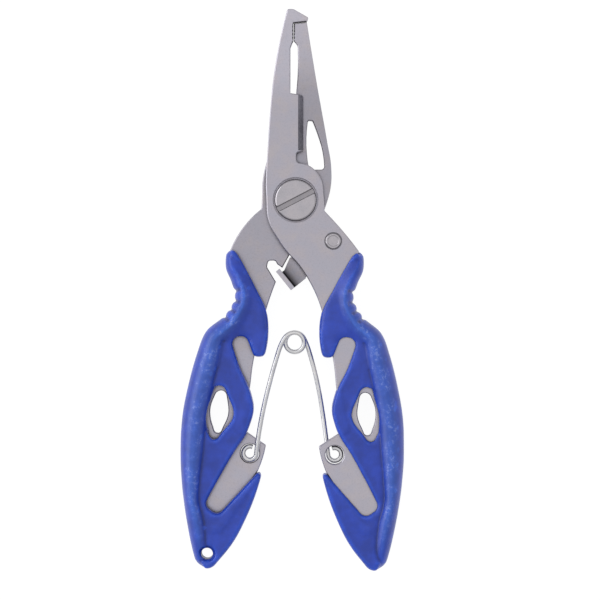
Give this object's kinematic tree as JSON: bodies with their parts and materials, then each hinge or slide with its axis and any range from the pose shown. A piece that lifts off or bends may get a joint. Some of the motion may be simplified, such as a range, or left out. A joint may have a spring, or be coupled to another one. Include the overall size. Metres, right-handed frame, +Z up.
{
  "type": "fishing pliers",
  "caption": "Fishing pliers with stamped steel jaws, a hooked split-ring nose, a cutting blade, a wire spring, a lock lever and moulded plastic grips.",
  "frame": {"origin": "middle of the bounding box of the closed pliers, on the plane that their underside lies on", "axes": "+Y towards the tips of the jaws, +Z up out of the face that shows the screw head, along the pivot axis"},
  "size_m": [0.0476, 0.12, 0.0086],
  "materials": {
    "stamped_steel": "satin stamped stainless sheet",
    "screw_steel": "turned steel, smooth",
    "lever_steel": "bent steel strip",
    "spring_steel": "drawn round wire",
    "grip_plastic": "moulded blue plastic, satin gloss"
  },
  "bodies": {
    "rear_half": {"rear_plate": "stamped_steel", "left_grip": "grip_plastic", "pivot_screw": "screw_steel", "pivot_nut": "screw_steel", "torsion_spring": "spring_steel"},
    "front_half": {"front_plate": "stamped_steel", "right_grip": "grip_plastic", "lock_rivet": "screw_steel"},
    "lock_lever": {"lock_lever": "lever_steel"}
  },
  "joints": [
    {"name": "jaw_pivot", "type": "hinge", "parent": "rear_half", "child": "front_half", "pos_m": [0.00071, 0.01915, 0.0043], "axis": [0, 0, 1], "range_deg": [0, 26], "deforming": ["torsion_spring"]},
    {"name": "lock_pivot", "type": "hinge", "parent": "front_half", "child": "lock_lever", "pos_m": [0.00873, 0.01042, 0.0043], "axis": [0, 0, 1], "range_deg": [-2.7, 24]}
  ]
}
